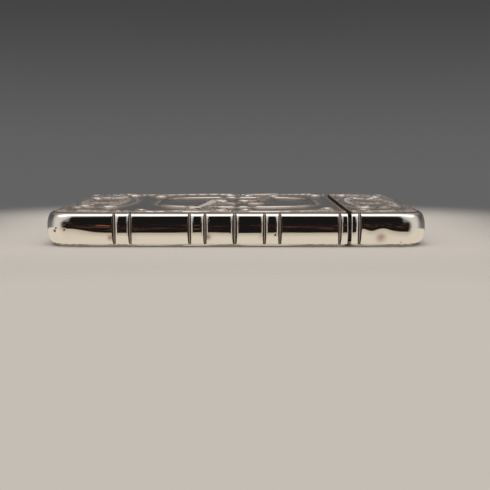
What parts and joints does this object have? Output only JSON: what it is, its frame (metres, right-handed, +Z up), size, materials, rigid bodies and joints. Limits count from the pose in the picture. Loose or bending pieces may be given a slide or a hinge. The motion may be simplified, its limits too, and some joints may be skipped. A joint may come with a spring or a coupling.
{
  "type": "card case",
  "caption": "Flat silver visiting-card case with moulded, ribbed edges, struck scroll plates and an end lid that swings open on a flush side hinge over an inner collar.",
  "frame": {"origin": "under the middle of the case, on the plane that it lies on", "axes": "+X along the length towards the lid's end, +Y across the width towards the hinge, +Z up through the thickness"},
  "size_m": [0.1046, 0.07, 0.0098],
  "materials": {
    "silver": "polished silver, tarnished in the recesses",
    "pin_steel": "dull drawn wire"
  },
  "bodies": {
    "body": {"body_front_plate": "silver", "body_back_plate": "silver", "body_edge_band": "silver", "mouth_collar": "silver", "hinge_knuckle_body_lower": "silver", "hinge_knuckle_body_upper": "silver", "hinge_pin": "pin_steel"},
    "lid": {"lid_front_plate": "silver", "lid_back_plate": "silver", "lid_edge_band": "silver", "hinge_knuckle_lid": "silver"}
  },
  "joints": [
    {"name": "lid_hinge", "type": "hinge", "parent": "body", "child": "lid", "pos_m": [0.0306, 0.0334, 0.0049], "axis": [0, 0, 1], "range_deg": [0, 100]}
  ]
}
